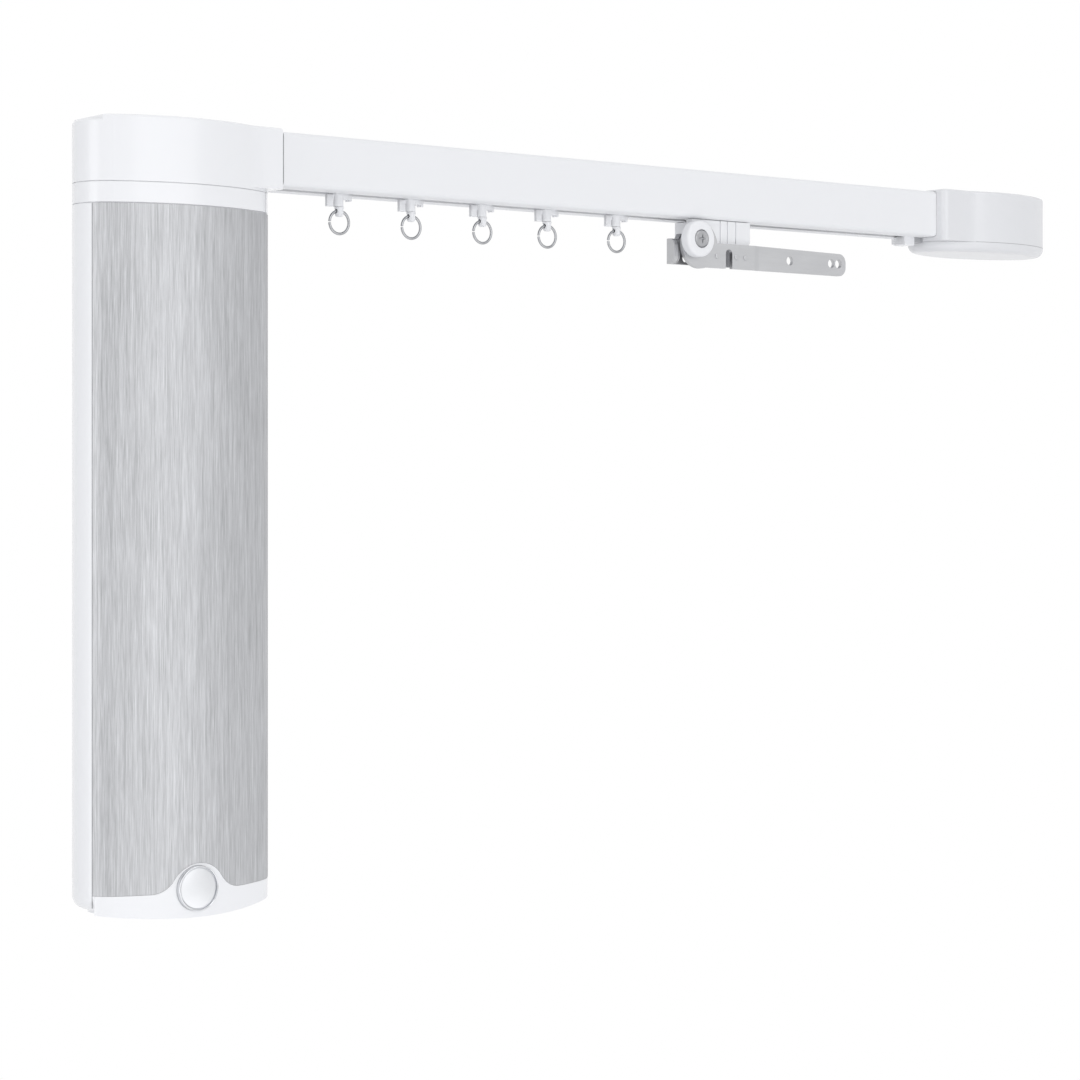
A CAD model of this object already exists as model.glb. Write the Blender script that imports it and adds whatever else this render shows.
from math import pi, radians

import bmesh
import bpy
from mathutils import Matrix, Vector


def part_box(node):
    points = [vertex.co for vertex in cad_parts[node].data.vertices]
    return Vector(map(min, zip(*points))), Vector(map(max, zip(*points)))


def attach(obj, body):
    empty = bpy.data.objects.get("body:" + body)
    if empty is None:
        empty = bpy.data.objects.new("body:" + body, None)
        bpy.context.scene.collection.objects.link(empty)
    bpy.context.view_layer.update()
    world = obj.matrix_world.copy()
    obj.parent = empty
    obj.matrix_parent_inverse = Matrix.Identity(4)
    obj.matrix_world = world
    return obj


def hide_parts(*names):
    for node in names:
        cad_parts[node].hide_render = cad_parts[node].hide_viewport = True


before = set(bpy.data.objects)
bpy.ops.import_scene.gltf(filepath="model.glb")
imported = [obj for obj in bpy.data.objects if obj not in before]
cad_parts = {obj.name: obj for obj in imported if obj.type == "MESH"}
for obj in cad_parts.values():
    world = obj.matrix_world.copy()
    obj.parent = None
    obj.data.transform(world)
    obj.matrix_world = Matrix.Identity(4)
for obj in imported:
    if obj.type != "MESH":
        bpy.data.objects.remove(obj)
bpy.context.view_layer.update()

millimetre = 0.001


def mm(*values):
    return Vector([value * millimetre for value in values])


# Camera
camera = {
    "place": mm(-801.9, -960.6, -141.2),
    "yaw": 38.11,          # degrees towards the return end
    "lens": 88.73,
    "sensor": 36.0,
    "shift": -0.0673,
    "nearest": 0.05,
    "farthest": 60.0,
}


def makeCamera():
    data = bpy.data.cameras.new("viewCamera")
    data.lens = camera["lens"]
    data.sensor_width = camera["sensor"]
    data.shift_y = camera["shift"]
    data.clip_start = camera["nearest"]
    data.clip_end = camera["farthest"]
    obj = bpy.data.objects.new("viewCamera", data)
    obj.location = camera["place"]
    obj.rotation_euler = (radians(90), 0, radians(-camera["yaw"]))
    bpy.context.scene.collection.objects.link(obj)
    bpy.context.scene.camera = obj


makeCamera()
print("camera placed")

# Shader helpers


def newMaterial(name):
    material = bpy.data.materials.new(name)
    material.use_nodes = True
    tree = material.node_tree
    shader = tree.nodes["Principled BSDF"]
    return material, tree, shader


def newGroup(name, inputs, outputs):
    group = bpy.data.node_groups.new(name, "ShaderNodeTree")
    for label, kind, value in inputs:
        socket = group.interface.new_socket(label, in_out="INPUT", socket_type=kind)
        socket.default_value = value
    for label, kind in outputs:
        group.interface.new_socket(label, in_out="OUTPUT", socket_type=kind)
    start = group.nodes.new("NodeGroupInput")
    end = group.nodes.new("NodeGroupOutput")
    return group, start, end


def placeGroup(tree, group, values):
    node = tree.nodes.new("ShaderNodeGroup")
    node.node_tree = group
    for label, value in values.items():
        node.inputs[label].default_value = value
    return node


def mathNode(tree, operation, first, second):
    node = tree.nodes.new("ShaderNodeMath")
    node.operation = operation
    for socket, value in zip(node.inputs, (first, second)):
        if isinstance(value, bpy.types.NodeSocket):
            tree.links.new(value, socket)
        else:
            socket.default_value = value
    return node.outputs[0]


def spread(tree, value, low, high, fromLow=0.0, fromHigh=1.0):
    node = tree.nodes.new("ShaderNodeMapRange")
    node.inputs["From Min"].default_value = fromLow
    node.inputs["From Max"].default_value = fromHigh
    tree.links.new(value, node.inputs["Value"])
    for label, bound in (("To Min", low), ("To Max", high)):
        if isinstance(bound, bpy.types.NodeSocket):
            tree.links.new(bound, node.inputs[label])
        else:
            node.inputs[label].default_value = bound
    return node.outputs["Result"]


# Shared surface groups
surfaceOutputs = [
    ("Color", "NodeSocketColor"),
    ("Roughness", "NodeSocketFloat"),
    ("Normal", "NodeSocketVector"),
]
bumpDistance = 0.0001       # metres
grainNoise = {
    "cloudScale": 28.0,
    "cloudDetail": 4.0,
    "grainDetail": 2.0,
}
brushNoise = {
    "markDetail": 6.0,
    "markRoughness": 0.7,
    "markShare": 0.75,
    "bandScale": 0.22,      # against the marks' scale of 1
    "bandDetail": 3.0,
    "bandShare": 0.25,
    "lowest": 0.3,          # noise values that get the full contrast
    "highest": 0.7,
    "smoothest": 0.8,       # shares of the roughness
    "roughest": 1.2,
}


def makeGrainGroup():
    # Fine moulded or sprayed grain with faint clouding, for plastics and coatings
    group, start, end = newGroup(
        "mouldedGrain",
        [
            ("Color", "NodeSocketColor", (0.9, 0.9, 0.9, 1)),
            ("Clouding", "NodeSocketFloat", 0.02),
            ("Roughness", "NodeSocketFloat", 0.3),
            ("Roughness Spread", "NodeSocketFloat", 0.05),
            ("Grain Scale", "NodeSocketFloat", 2500.0),
            ("Grain Height", "NodeSocketFloat", 0.02),
        ],
        surfaceOutputs,
    )
    nodes, links = group.nodes, group.links
    coords = nodes.new("ShaderNodeTexCoord")
    cloud = nodes.new("ShaderNodeTexNoise")
    cloud.inputs["Scale"].default_value = grainNoise["cloudScale"]
    cloud.inputs["Detail"].default_value = grainNoise["cloudDetail"]
    links.new(coords.outputs["Object"], cloud.inputs["Vector"])
    grain = nodes.new("ShaderNodeTexNoise")
    grain.inputs["Detail"].default_value = grainNoise["grainDetail"]
    links.new(coords.outputs["Object"], grain.inputs["Vector"])
    links.new(start.outputs["Grain Scale"], grain.inputs["Scale"])
    darker = mathNode(group, "SUBTRACT", 1.0, start.outputs["Clouding"])
    level = spread(group, cloud.outputs["Fac"], darker, 1.0)
    tint = nodes.new("ShaderNodeMix")
    tint.data_type = "RGBA"
    tint.blend_type = "MULTIPLY"
    tint.inputs["Factor"].default_value = 1.0
    links.new(start.outputs["Color"], tint.inputs["A"])
    links.new(level, tint.inputs["B"])
    rough = mathNode(
        group, "ADD", start.outputs["Roughness"],
        mathNode(group, "MULTIPLY", start.outputs["Roughness Spread"], cloud.outputs["Fac"]),
    )
    bump = nodes.new("ShaderNodeBump")
    bump.inputs["Distance"].default_value = bumpDistance
    links.new(start.outputs["Grain Height"], bump.inputs["Strength"])
    links.new(grain.outputs["Fac"], bump.inputs["Height"])
    links.new(tint.outputs["Result"], end.inputs["Color"])
    links.new(rough, end.inputs["Roughness"])
    links.new(bump.outputs["Normal"], end.inputs["Normal"])
    return group


def makeBrushGroup():
    # Long brush marks along one axis: wide soft bands under narrow scratches
    group, start, end = newGroup(
        "brushMarks",
        [
            ("Color", "NodeSocketColor", (0.6, 0.6, 0.6, 1)),
            ("Contrast", "NodeSocketFloat", 0.2),
            ("Roughness", "NodeSocketFloat", 0.35),
            ("Stretch", "NodeSocketVector", (900.0, 900.0, 12.0)),
            ("Height", "NodeSocketFloat", 0.15),
        ],
        surfaceOutputs,
    )
    nodes, links = group.nodes, group.links
    coords = nodes.new("ShaderNodeTexCoord")
    stretch = nodes.new("ShaderNodeVectorMath")
    stretch.operation = "MULTIPLY"
    links.new(coords.outputs["Object"], stretch.inputs[0])
    links.new(start.outputs["Stretch"], stretch.inputs[1])
    marks = nodes.new("ShaderNodeTexNoise")
    marks.inputs["Scale"].default_value = 1.0
    marks.inputs["Detail"].default_value = brushNoise["markDetail"]
    marks.inputs["Roughness"].default_value = brushNoise["markRoughness"]
    links.new(stretch.outputs["Vector"], marks.inputs["Vector"])
    bands = nodes.new("ShaderNodeTexNoise")
    bands.inputs["Scale"].default_value = brushNoise["bandScale"]
    bands.inputs["Detail"].default_value = brushNoise["bandDetail"]
    links.new(stretch.outputs["Vector"], bands.inputs["Vector"])
    both = mathNode(
        group, "ADD",
        mathNode(group, "MULTIPLY", marks.outputs["Fac"], brushNoise["markShare"]),
        mathNode(group, "MULTIPLY", bands.outputs["Fac"], brushNoise["bandShare"]),
    )
    low = mathNode(group, "SUBTRACT", 1.0, start.outputs["Contrast"])
    high = mathNode(group, "ADD", 1.0, start.outputs["Contrast"])
    level = spread(group, both, low, high, brushNoise["lowest"], brushNoise["highest"])
    tint = nodes.new("ShaderNodeVectorMath")
    tint.operation = "SCALE"
    links.new(start.outputs["Color"], tint.inputs[0])
    links.new(level, tint.inputs["Scale"])
    unevenness = spread(group, both, brushNoise["smoothest"], brushNoise["roughest"])
    rough = mathNode(group, "MULTIPLY", start.outputs["Roughness"], unevenness)
    bump = nodes.new("ShaderNodeBump")
    bump.inputs["Distance"].default_value = bumpDistance
    links.new(start.outputs["Height"], bump.inputs["Strength"])
    links.new(both, bump.inputs["Height"])
    links.new(tint.outputs["Vector"], end.inputs["Color"])
    links.new(rough, end.inputs["Roughness"])
    links.new(bump.outputs["Normal"], end.inputs["Normal"])
    return group


grainGroup = makeGrainGroup()
brushGroup = makeBrushGroup()
roughnessSpread = 0.2       # share of a moulded surface's own roughness
coatRoughness = 0.17


def mouldedMaterial(name, color, roughness, clouding=0.015, grain=2500.0, height=0.03, coat=0.0):
    material, tree, shader = newMaterial(name)
    surface = placeGroup(tree, grainGroup, {
        "Color": (*color, 1), "Clouding": clouding, "Roughness": roughness,
        "Roughness Spread": roughness * roughnessSpread,
        "Grain Scale": grain, "Grain Height": height,
    })
    tree.links.new(surface.outputs["Color"], shader.inputs["Base Color"])
    tree.links.new(surface.outputs["Roughness"], shader.inputs["Roughness"])
    tree.links.new(surface.outputs["Normal"], shader.inputs["Normal"])
    shader.inputs["Coat Weight"].default_value = coat
    shader.inputs["Coat Roughness"].default_value = coatRoughness
    return material


def metalMaterial(name, color, roughness, stretch, contrast=0.1, height=0.1, metallic=1.0):
    material, tree, shader = newMaterial(name)
    surface = placeGroup(tree, brushGroup, {
        "Color": (*color, 1), "Contrast": contrast, "Roughness": roughness,
        "Stretch": stretch, "Height": height,
    })
    tree.links.new(surface.outputs["Color"], shader.inputs["Base Color"])
    tree.links.new(surface.outputs["Roughness"], shader.inputs["Roughness"])
    tree.links.new(surface.outputs["Normal"], shader.inputs["Normal"])
    shader.inputs["Metallic"].default_value = metallic
    return material


shellWhite = mouldedMaterial("shellWhite", (0.9, 0.905, 0.922), 0.42, coat=0.9)
gliderWhite = mouldedMaterial("gliderWhite", (0.9, 0.905, 0.92), 0.4, clouding=0.03)
railCoat = mouldedMaterial("railCoat", (0.9, 0.905, 0.92), 0.42, grain=1400.0, height=0.05)
knobWhite = mouldedMaterial("knobWhite", (0.9, 0.905, 0.92), 0.36)
returnWhite = mouldedMaterial("returnWhite", (0.8, 0.805, 0.823), 0.42, coat=0.6)
wheelNylon = mouldedMaterial("wheelNylon", (0.8, 0.8, 0.78), 0.4)
beltRubber = mouldedMaterial("beltRubber", (0.035, 0.036, 0.04), 0.55, clouding=0.2, height=0.2)
sealGrey = mouldedMaterial("sealGrey", (0.22, 0.223, 0.235), 0.6, clouding=0.1)
seamGrey = mouldedMaterial("seamGrey", (0.46, 0.463, 0.475), 0.6, clouding=0.1)
socketBlack = mouldedMaterial("socketBlack", (0.03, 0.031, 0.034), 0.42, clouding=0.1)
boardGreen = mouldedMaterial("boardGreen", (0.03, 0.14, 0.06), 0.35, clouding=0.15)
plateBrushed = metalMaterial(
    "plateBrushed", (0.5, 0.505, 0.52), 0.5, stretch=(3300.0, 3300.0, 70.0),
    contrast=0.4, height=0.2, metallic=0.6)
armSteel = metalMaterial(
    "armSteel", (0.53, 0.535, 0.55), 0.42, stretch=(60.0, 400.0, 400.0),
    contrast=0.05, height=0.05)
screwSteel = metalMaterial(
    "screwSteel", (0.42, 0.425, 0.44), 0.34, stretch=(500.0, 500.0, 500.0),
    contrast=0.06, height=0.05)
turnedSteel = metalMaterial(
    "turnedSteel", (0.5, 0.505, 0.515), 0.34, stretch=(40.0, 40.0, 1600.0))
brightChrome = metalMaterial(
    "brightChrome", (0.7, 0.71, 0.73), 0.1, stretch=(120.0, 120.0, 120.0),
    contrast=0.03, height=0.01)
emblemSilver = metalMaterial(
    "emblemSilver", (0.66, 0.67, 0.69), 0.3, stretch=(300.0, 300.0, 300.0),
    contrast=0.02, height=0.01)
ringSteel = metalMaterial(
    "ringSteel", (0.4, 0.405, 0.42), 0.2, stretch=(300.0, 300.0, 300.0),
    contrast=0.06, height=0.03)
contactGold = metalMaterial(
    "contactGold", (0.72, 0.52, 0.22), 0.25, stretch=(300.0, 300.0, 300.0),
    contrast=0.06, height=0.03)
print("materials made")

nodeLooks = {
    shellWhite: ["drive_head_housing", "head_collar", "head_floor", "motor_rear_shell",
                 "motor_front_shell", "motor_bottom_plate", "end_stop_block"],
    returnWhite: ["return_housing", "return_cover"],
    railCoat: ["track_profile"],
    gliderWhite: [f"glider_{part}_{number}" for part in ("body", "eye") for number in range(1, 6)],
    knobWhite: ["carrier_body", "carrier_knob"],
    wheelNylon: ["drive_pulley", "return_pulley", "carrier_wheels_left", "carrier_wheels_right",
                 "belt_clamp"],
    beltRubber: ["toothed_belt"],
    socketBlack: ["power_inlet", "control_socket"],
    boardGreen: ["control_board"],
    plateBrushed: ["motor_front_plate"],
    armSteel: ["carrier_arm", "rear_arm", "end_stop_plate", "bumper_pads"],
    screwSteel: ["carrier_screw", "carrier_nut"],
    turnedSteel: ["drive_shaft", "shaft_bearing", "return_axle", "return_bearing",
                  "motor_top_plate", "gearbox", "motor_can", "brake_unit"],
}


def dressNodes():
    for material, names in nodeLooks.items():
        for name in names:
            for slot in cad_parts[name].material_slots:
                slot.material = material


dressNodes()
print("CAD nodes dressed")

# Helpers for new pieces
weldDistance = 0.002 * millimetre
sharpAngle = radians(32)


def finishPiece(name, bm, material, body):
    bmesh.ops.remove_doubles(bm, verts=bm.verts, dist=weldDistance)
    bmesh.ops.recalc_face_normals(bm, faces=bm.faces)
    mesh = bpy.data.meshes.new(name)
    bm.to_mesh(mesh)
    bm.free()
    mesh.shade_smooth()
    mesh.set_sharp_from_angle(angle=sharpAngle)
    mesh.materials.append(material)
    piece = bpy.data.objects.new(name, mesh)
    bpy.context.scene.collection.objects.link(piece)
    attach(piece, body)
    return piece


def turned(bm, profile, centre, axis, steps=96, closed=False):
    # Spins (radius, height) pairs in mm, from the axis outwards, round an axis
    side = axis.orthogonal().normalized()
    verts = [bm.verts.new(centre + (side * radius + axis * height) * millimetre)
             for radius, height in profile]
    edges = [bm.edges.new(pair) for pair in zip(verts, verts[1:])]
    if closed:
        edges.append(bm.edges.new((verts[-1], verts[0])))
    bmesh.ops.spin(bm, geom=verts + edges, cent=centre, axis=axis, angle=2 * pi, steps=steps,
                   use_merge=True)


def middle(box):
    return (Vector(box[0]) + Vector(box[1])) / 2


# Emblem: polished rim with a groove inside it, and a bare domed face
emblem = {
    "rimWidth": 0.55,       # mm
    "rimProfile": [         # share of that width from the outer edge, depth below the front
        (1.0, 0.3), (0.8, 0.08), (0.55, 0.0), (0.3, 0.06), (0.08, 0.22), (0.0, 0.45),
    ],
    "rimClearance": 0.02,
    "grooveWidth": 0.3,
    "grooveFloor": 0.3,     # below the edge of the face
    "edgeDepth": 0.9,       # of the face, below the rim's front
    "edgeBevel": 0.05,
    "domeShare": 0.96,      # of the face's radius
    "domeFoot": 0.2,
    "domeRise": 0.35,
    "domeRings": 7,
}


def makeEmblem():
    low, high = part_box("emblem_ring")
    centre = middle((low, high))
    centre.y = low[1]       # the rim's front
    radius = (high[0] - low[0]) / 2 / millimetre
    depth = (high[1] - low[1]) / millimetre
    forward = Vector((0, -1, 0))
    width = emblem["rimWidth"]
    profile = [(radius - width, -depth)]
    profile += [(radius - width * share, -drop) for share, drop in emblem["rimProfile"]]
    profile.append((radius, -depth))
    bm = bmesh.new()
    turned(bm, profile, centre, forward, closed=True)
    rim = finishPiece("emblemRim", bm, brightChrome, "frame")
    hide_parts("emblem_ring")
    inner = radius - width - emblem["grooveWidth"]
    outer = radius - width - emblem["rimClearance"]
    edge = -emblem["edgeDepth"]
    floor = edge - emblem["grooveFloor"]
    reach = inner * emblem["domeShare"]
    foot = edge + emblem["domeFoot"]
    profile = [(0.0, foot + emblem["domeRise"])]
    for step in range(1, emblem["domeRings"] + 1):
        share = step / emblem["domeRings"]
        profile.append((reach * share, foot + emblem["domeRise"] * (1 - share * share)))
    profile += [(inner, edge - emblem["edgeBevel"]), (inner, floor), (outer, floor),
                (outer, -depth), (0.0, -depth)]
    bm = bmesh.new()
    turned(bm, profile, centre, forward)
    face = finishPiece("emblemFace", bm, emblemSilver, "frame")
    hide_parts("emblem_disc")


# Split rings, one turn of round wire each
splitRing = {
    "wireRadius": 0.62,     # mm
    "gap": 0.4,             # between the wire's two ends
    "splitAngle": 180.0,    # degrees, the split points away from the carrier
    "steps": 96,
    "wireSides": 16,
    "endRound": 0.14,
}


def makeSplitRing(number):
    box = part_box(f"glider_ring_{number}")
    radius = (box[1][2] - box[0][2]) / 2 - splitRing["wireRadius"] * millimetre
    opening = splitRing["gap"] * millimetre / radius
    bm = bmesh.new()
    bmesh.ops.create_circle(bm, cap_ends=False, segments=splitRing["wireSides"],
                            radius=splitRing["wireRadius"] * millimetre)
    bmesh.ops.translate(bm, verts=bm.verts, vec=(radius, 0, 0))
    bmesh.ops.rotate(bm, verts=bm.verts, cent=(0, 0, 0),
                     matrix=Matrix.Rotation(radians(splitRing["splitAngle"]) + opening / 2, 3, "Y"))
    bmesh.ops.spin(bm, geom=bm.verts[:] + bm.edges[:], cent=(0, 0, 0), axis=(0, 1, 0),
                   angle=2 * pi - opening, steps=splitRing["steps"])
    openEdges = [edge for edge in bm.edges if edge.is_boundary]
    caps = bmesh.ops.holes_fill(bm, edges=openEdges, sides=0)["faces"]
    rims = {edge for cap in caps for edge in cap.edges}
    bmesh.ops.bevel(bm, geom=list(rims), offset=splitRing["endRound"] * millimetre, segments=2,
                    profile=0.5, affect="EDGES", material=-1)
    bmesh.ops.translate(bm, verts=bm.verts, vec=middle(box))
    ring = finishPiece(f"splitRing_{number}", bm, ringSteel, f"ring_{number}")
    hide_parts(f"glider_ring_{number}")


# Grey lines where the shadow gaps are
seals = {
    "plateBead": 0.15,      # mm, radius of the bead beside the front plate
    "beadSides": 8,
    "beadSet": 0.1,         # behind the plate's back edge
    "beadTail": 5.0,        # how far the left bead runs on below the plate
    "seamHeight": 0.3,      # line between the return housing and its cover
    "seamWall": 0.1,
    "seamProud": 0.02,
    "seamReach": 0.8,       # share of the cover's half depth, nothing nearer its middle is kept
    "trackGap": 0.35,
    "trackLip": 2.15,       # how far the sleeve shows along the track
    "trackWall": 0.2,
    "trackRounding": 2.1,
    "roundingSteps": 5,
}


def makePlateBeads():
    low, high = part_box("motor_front_plate")
    back = high[1] + seals["beadSet"] * millimetre
    bm = bmesh.new()
    for x, tail in ((low[0], seals["beadTail"] * millimetre), (high[0], 0.0)):
        ring = bmesh.ops.create_circle(bm, cap_ends=True, segments=seals["beadSides"],
                                       radius=seals["plateBead"] * millimetre)
        faces = list({face for vert in ring["verts"] for face in vert.link_faces})
        bmesh.ops.translate(bm, verts=ring["verts"], vec=(x, back, low[2] - tail))
        tall = bmesh.ops.extrude_face_region(bm, geom=faces)["geom"]
        tops = [item for item in tall if isinstance(item, bmesh.types.BMVert)]
        bmesh.ops.translate(bm, verts=tops, vec=(0, 0, high[2] - low[2] + tail))
    finishPiece("plateSeals", bm, sealGrey, "frame")


def makeReturnSeam():
    # Follows the cover's own outline just under the housing
    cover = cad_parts["return_cover"]
    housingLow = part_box("return_housing")[0]
    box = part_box("return_cover")
    centre, halfDepth = middle(box), box[1][1]
    height = seals["seamHeight"] * millimetre
    bm = bmesh.new()
    bm.from_mesh(cover.data)
    bmesh.ops.transform(bm, verts=bm.verts, matrix=cover.matrix_world)
    bmesh.ops.remove_doubles(bm, verts=bm.verts, dist=weldDistance)
    everything = bm.verts[:] + bm.edges[:] + bm.faces[:]
    bmesh.ops.bisect_plane(bm, geom=everything, plane_co=(0, 0, housingLow[2] - height / 2),
                           plane_no=(0, 0, 1), clear_inner=True, clear_outer=True)
    reach = halfDepth * seals["seamReach"]
    inner = [vert for vert in bm.verts if (vert.co.xy - centre.xy).length < reach]
    bmesh.ops.delete(bm, geom=inner, context="VERTS")
    grow = 1 + seals["seamProud"] * millimetre / halfDepth
    bmesh.ops.translate(bm, verts=bm.verts, vec=-centre)
    bmesh.ops.scale(bm, verts=bm.verts, vec=(grow, grow, 1))
    bmesh.ops.translate(bm, verts=bm.verts, vec=centre)
    band = bmesh.ops.extrude_edge_only(bm, edges=bm.edges[:])["geom"]
    tops = [item for item in band if isinstance(item, bmesh.types.BMVert)]
    bmesh.ops.translate(bm, verts=tops, vec=(0, 0, height))
    bmesh.ops.recalc_face_normals(bm, faces=bm.faces)
    bmesh.ops.solidify(bm, geom=bm.faces[:], thickness=seals["seamWall"] * millimetre)
    finishPiece("returnSeam", bm, seamGrey, "frame")


def makeTrackSeal():
    # A thin sleeve round the track where it enters the drive head
    low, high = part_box("track_profile")
    wall = seals["trackWall"] * millimetre
    wide, tall = (high[1] - low[1]) / 2 + wall, (high[2] - low[2]) / 2 + wall
    length = (seals["trackGap"] + seals["trackLip"]) * millimetre
    bm = bmesh.new()
    bmesh.ops.create_grid(bm, x_segments=1, y_segments=1, size=1)
    bmesh.ops.scale(bm, verts=bm.verts, vec=(wide, tall, 1))
    bmesh.ops.bevel(bm, geom=bm.verts[:], offset=seals["trackRounding"] * millimetre,
                    segments=seals["roundingSteps"], profile=0.5, affect="VERTICES", material=-1)
    bmesh.ops.inset_region(bm, faces=bm.faces[:], thickness=wall)
    centre = [face for face in bm.faces if all(len(edge.link_faces) == 2 for edge in face.edges)]
    bmesh.ops.delete(bm, geom=centre, context="FACES_ONLY")
    band = bmesh.ops.extrude_face_region(bm, geom=bm.faces[:])["geom"]
    ends = [item for item in band if isinstance(item, bmesh.types.BMVert)]
    bmesh.ops.translate(bm, verts=ends, vec=(0, 0, length))
    stand = Matrix(((0, 0, 1), (1, 0, 0), (0, 1, 0)))       # the grid's Z becomes the track's X
    bmesh.ops.rotate(bm, verts=bm.verts, cent=(0, 0, 0), matrix=stand)
    bmesh.ops.translate(bm, verts=bm.verts, vec=(
        low[0] - seals["trackGap"] * millimetre, (low[1] + high[1]) / 2, (low[2] + high[2]) / 2))
    finishPiece("trackSeal", bm, sealGrey, "frame")


# Cross-head screws: two under the motor, a larger one through the carrier's knob
caseScrew = {
    "headRadius": 2.6,      # mm
    "headHeight": 0.45,
    "flatShare": 0.78,
    "crossLength": 2.6,
    "crossWidth": 0.55,
    "crossDepth": 0.35,
    "places": [(-27.0, 6.0), (27.0, 6.0)],   # from the bottom plate's middle
    "searchDrop": 10.0,     # the plate is looked for from this far below it
}
carrierScrew = {
    "headHeight": 0.9,
    "flatShare": 0.86,
    "crossLength": 5.0,
    "crossWidth": 0.8,
    "crossDepth": 0.8,
    "headThickness": 1.6,
    "headGap": 0.02,        # between the crossed head and the body turned under it
    "shankRadius": 2.0,
}
screwSegments = 48
crossTip = 0.5              # half widths of an arm of the cross
crossCorner = 1.3
crossFloor = 0.45           # size of the recess at its floor


def addCrossScrew(bm, size, place, outward):
    # Built upright at the origin: flat top, tapering cross recess, sloping rim
    length, width = size["crossLength"] / 2, size["crossWidth"] / 2
    arm = [(length, -width * crossTip), (length, width * crossTip),
           (width * crossCorner, width * crossCorner)]
    screw = bmesh.new()
    outline = []
    for quarter in range(4):
        turn = Matrix.Rotation(quarter * pi / 2, 3, "Z")
        outline += [screw.verts.new(turn @ Vector((x, y, 0))) for x, y in arm]
    crossEdges = [screw.edges.new(pair) for pair in zip(outline, outline[1:] + outline[:1])]
    top = bmesh.ops.create_circle(screw, cap_ends=False, segments=screwSegments,
                                  radius=size["headRadius"] * size["flatShare"])
    topEdges = list({edge for vert in top["verts"] for edge in vert.link_edges})
    bmesh.ops.bridge_loops(screw, edges=crossEdges + topEdges)
    for edges, grow, drop in ((crossEdges, crossFloor, size["crossDepth"]),
                              (topEdges, 1 / size["flatShare"], size["headHeight"])):
        walls = bmesh.ops.extrude_edge_only(screw, edges=edges)["geom"]
        lower = [item for item in walls if isinstance(item, bmesh.types.BMVert)]
        bmesh.ops.scale(screw, verts=lower, vec=(grow, grow, 1))
        bmesh.ops.translate(screw, verts=lower, vec=(0, 0, -drop))
        rim = [item for item in walls if isinstance(item, bmesh.types.BMEdge) and item.is_boundary]
        bmesh.ops.holes_fill(screw, edges=rim, sides=0)
    bmesh.ops.scale(screw, verts=screw.verts, vec=(millimetre,) * 3)
    seat = Matrix.Translation(place) @ outward.to_track_quat("Z", "Y").to_matrix().to_4x4()
    bmesh.ops.transform(screw, verts=screw.verts, matrix=seat)
    mesh = bpy.data.meshes.new("screwBlank")
    screw.to_mesh(mesh)
    screw.free()
    bm.from_mesh(mesh)
    bpy.data.meshes.remove(mesh)


def makeCaseScrews():
    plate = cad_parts["motor_bottom_plate"]
    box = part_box("motor_bottom_plate")
    centre = middle(box)
    bottom = Vector((centre.x, centre.y, box[0][2]))
    bm = bmesh.new()
    for x, y in caseScrew["places"]:
        start = bottom + mm(x, y, -caseScrew["searchDrop"])
        found, place, normal = plate.ray_cast(start, Vector((0, 0, 1)))[:3]
        if not found:
            raise ValueError("a case screw misses the bottom plate")
        outward = normal if normal.z < 0 else -normal
        top = place + outward * caseScrew["headHeight"] * millimetre
        addCrossScrew(bm, caseScrew, top, outward)
    finishPiece("caseScrews", bm, screwSteel, "frame")


def makeCarrierScrew():
    low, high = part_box("carrier_screw")
    forward = Vector((0, -1, 0))
    front = middle((low, high))
    front.y = low[1]
    size = dict(carrierScrew, headRadius=(high[0] - low[0]) / 2 / millimetre)
    bm = bmesh.new()
    addCrossScrew(bm, size, front, forward)
    under = -size["headHeight"] - size["headGap"]
    back = -size["headThickness"]
    radius, shank = size["headRadius"], size["shankRadius"]
    depth = (high[1] - low[1]) / millimetre
    turned(bm, [(0.0, under), (radius, under), (radius, back), (shank, back), (shank, -depth),
                (0.0, -depth)], front, forward, steps=screwSegments)
    screw = finishPiece("carrierScrew", bm, screwSteel, "carrier")
    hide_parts("carrier_screw")


# Contacts inside the two sockets under the motor
contacts = {
    "pinRadius": 0.85,      # mm
    "pinSpacing": 4.4,
    "pinLength": 3.6,
    "pinTaper": 0.5,        # length of a pin's tapered end
    "pinTip": 0.6,          # share of the radius left at the tip
    "pinCrown": 0.08,
    "pinSides": 24,
    "cupWall": 1.5,
    "stripCount": 6,
    "stripPitch": 1.1,
    "stripWidth": 0.5,
    "stripThickness": 0.25,
    "stripHeight": 3.4,
    "stripLean": 0.6,       # of the free ends, inwards
    "stripBevel": 0.06,
}


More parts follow.
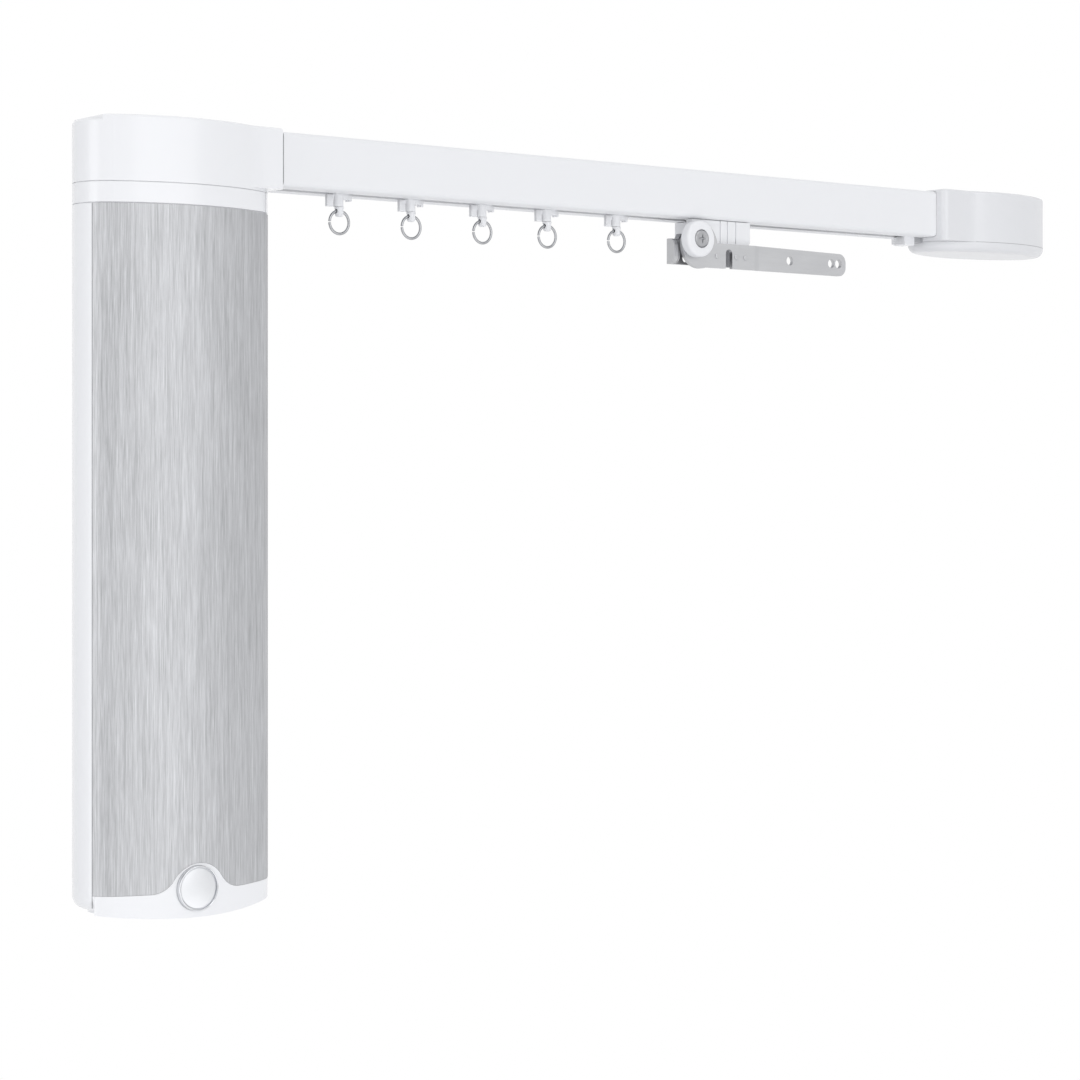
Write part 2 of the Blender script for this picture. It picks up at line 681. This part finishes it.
def makeContacts():
    low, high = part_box("power_inlet")
    roof = high[2] - contacts["cupWall"] * millimetre
    centre = middle((low, high))
    bm = bmesh.new()
    length, radius = contacts["pinLength"], contacts["pinRadius"]
    profile = [
        (0.0, length),
        (radius * contacts["pinTip"], length - contacts["pinCrown"]),
        (radius, length - contacts["pinTaper"]),
        (radius, 0.0),
        (0.0, 0.0),
    ]
    for side in (-1, 1):
        foot = Vector((centre.x + side * contacts["pinSpacing"] / 2 * millimetre, centre.y, roof))
        turned(bm, profile, foot, Vector((0, 0, -1)), steps=contacts["pinSides"])
    finishPiece("inletPins", bm, screwSteel, "frame")
    low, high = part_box("control_socket")
    roof = high[2] - contacts["cupWall"] * millimetre
    wallY = high[1] - contacts["cupWall"] * millimetre
    centre = middle((low, high))
    bm = bmesh.new()
    for index in range(contacts["stripCount"]):
        offset = (index - (contacts["stripCount"] - 1) / 2) * contacts["stripPitch"]
        strip = bmesh.ops.create_cube(bm, size=millimetre)["verts"]
        bmesh.ops.scale(bm, verts=strip, vec=(contacts["stripWidth"], contacts["stripThickness"],
                                              contacts["stripHeight"]))
        tips = [vert for vert in strip if vert.co.z < 0]
        bmesh.ops.translate(bm, verts=tips, vec=(0, -contacts["stripLean"] * millimetre, 0))
        bmesh.ops.translate(bm, verts=strip, vec=(
            centre.x + offset * millimetre, wallY - contacts["stripThickness"] / 2 * millimetre,
            roof - contacts["stripHeight"] / 2 * millimetre))
    bmesh.ops.bevel(bm, geom=bm.edges[:], offset=contacts["stripBevel"] * millimetre, segments=1,
                    profile=0.5, affect="EDGES", material=-1)
    finishPiece("socketContacts", bm, contactGold, "frame")


makeEmblem()
for number in range(1, 6):
    makeSplitRing(number)
makePlateBeads()
makeReturnSeam()
makeTrackSeal()
makeCaseScrews()
makeCarrierScrew()
makeContacts()
print("pieces made")

# Room and lamps
room = {
    "floorHeight": -1.05,   # metres
    "floorSize": 30.0,
    "floorColor": (0.86, 0.86, 0.87, 1),
    "floorRoughness": 0.9,
    "white": (1.0, 1.0, 1.0, 1),
    "ambient": (0.80, 0.81, 0.83, 1),
    "ambientStrength": 0.72,
}


def seenDirectly(tree):
    # 1 for what the camera sees itself or in a mirror, 0 for what only lights the object
    path = tree.nodes.new("ShaderNodeLightPath")
    seen, through = path.outputs["Is Camera Ray"], path.outputs["Is Transmission Ray"]
    direct = mathNode(tree, "MAXIMUM", seen, through)
    return mathNode(tree, "MAXIMUM", direct, path.outputs["Is Glossy Ray"])


def makeWorld():
    world = bpy.data.worlds.new("studio")
    bpy.context.scene.world = world
    world.use_nodes = True
    tree = world.node_tree
    background = tree.nodes["Background"]
    background.inputs["Color"].default_value = room["ambient"]
    background.inputs["Strength"].default_value = room["ambientStrength"]
    backdrop = tree.nodes.new("ShaderNodeBackground")
    backdrop.inputs["Color"].default_value = room["white"]
    mix = tree.nodes.new("ShaderNodeMixShader")
    tree.links.new(seenDirectly(tree), mix.inputs["Fac"])
    tree.links.new(background.outputs["Background"], mix.inputs[1])
    tree.links.new(backdrop.outputs["Background"], mix.inputs[2])
    tree.links.new(mix.outputs["Shader"], tree.nodes["World Output"].inputs["Surface"])


def makeFloor():
    bm = bmesh.new()
    bmesh.ops.create_grid(bm, x_segments=1, y_segments=1, size=room["floorSize"] / 2)
    bmesh.ops.translate(bm, verts=bm.verts, vec=(0, 0, room["floorHeight"]))
    mesh = bpy.data.meshes.new("floor")
    bm.to_mesh(mesh)
    bm.free()
    floor = bpy.data.objects.new("floor", mesh)
    bpy.context.scene.collection.objects.link(floor)
    material, tree, shader = newMaterial("paleFloor")
    shader.inputs["Base Color"].default_value = room["floorColor"]
    shader.inputs["Roughness"].default_value = room["floorRoughness"]
    glow = tree.nodes.new("ShaderNodeEmission")
    mix = tree.nodes.new("ShaderNodeMixShader")
    tree.links.new(seenDirectly(tree), mix.inputs["Fac"])
    tree.links.new(shader.outputs["BSDF"], mix.inputs[1])
    tree.links.new(glow.outputs["Emission"], mix.inputs[2])
    tree.links.new(mix.outputs["Shader"], tree.nodes["Material Output"].inputs["Surface"])
    mesh.materials.append(material)


lamps = [
    # name, place, aim, width, height, watts
    ("leftStrip", (-2.27, -0.1, -0.05), (-0.27, 0, -0.1), 0.95, 2.6, 11.0),
    ("front", (0.0, -2.6, 0.5), (-0.15, 0, -0.12), 2.2, 2.2, 16.0),
    ("overhead", (-0.1, -0.4, 2.2), (0.0, 0, 0.0), 2.6, 2.0, 10.0),
    ("under", (-0.1, -0.7, -0.95), (0.0, 0, 0.0), 1.6, 1.2, 4.0),
]


def makeLamps():
    for name, place, aim, width, height, watts in lamps:
        data = bpy.data.lights.new(name, "AREA")
        data.shape = "RECTANGLE"
        data.size = width
        data.size_y = height
        data.energy = watts
        lamp = bpy.data.objects.new(name, data)
        lamp.location = place
        lamp.rotation_euler = (Vector(aim) - Vector(place)).to_track_quat("-Z", "Y").to_euler()
        bpy.context.scene.collection.objects.link(lamp)


makeWorld()
makeFloor()
makeLamps()
bpy.context.scene.view_settings.view_transform = "Standard"
print("room and lamps made")
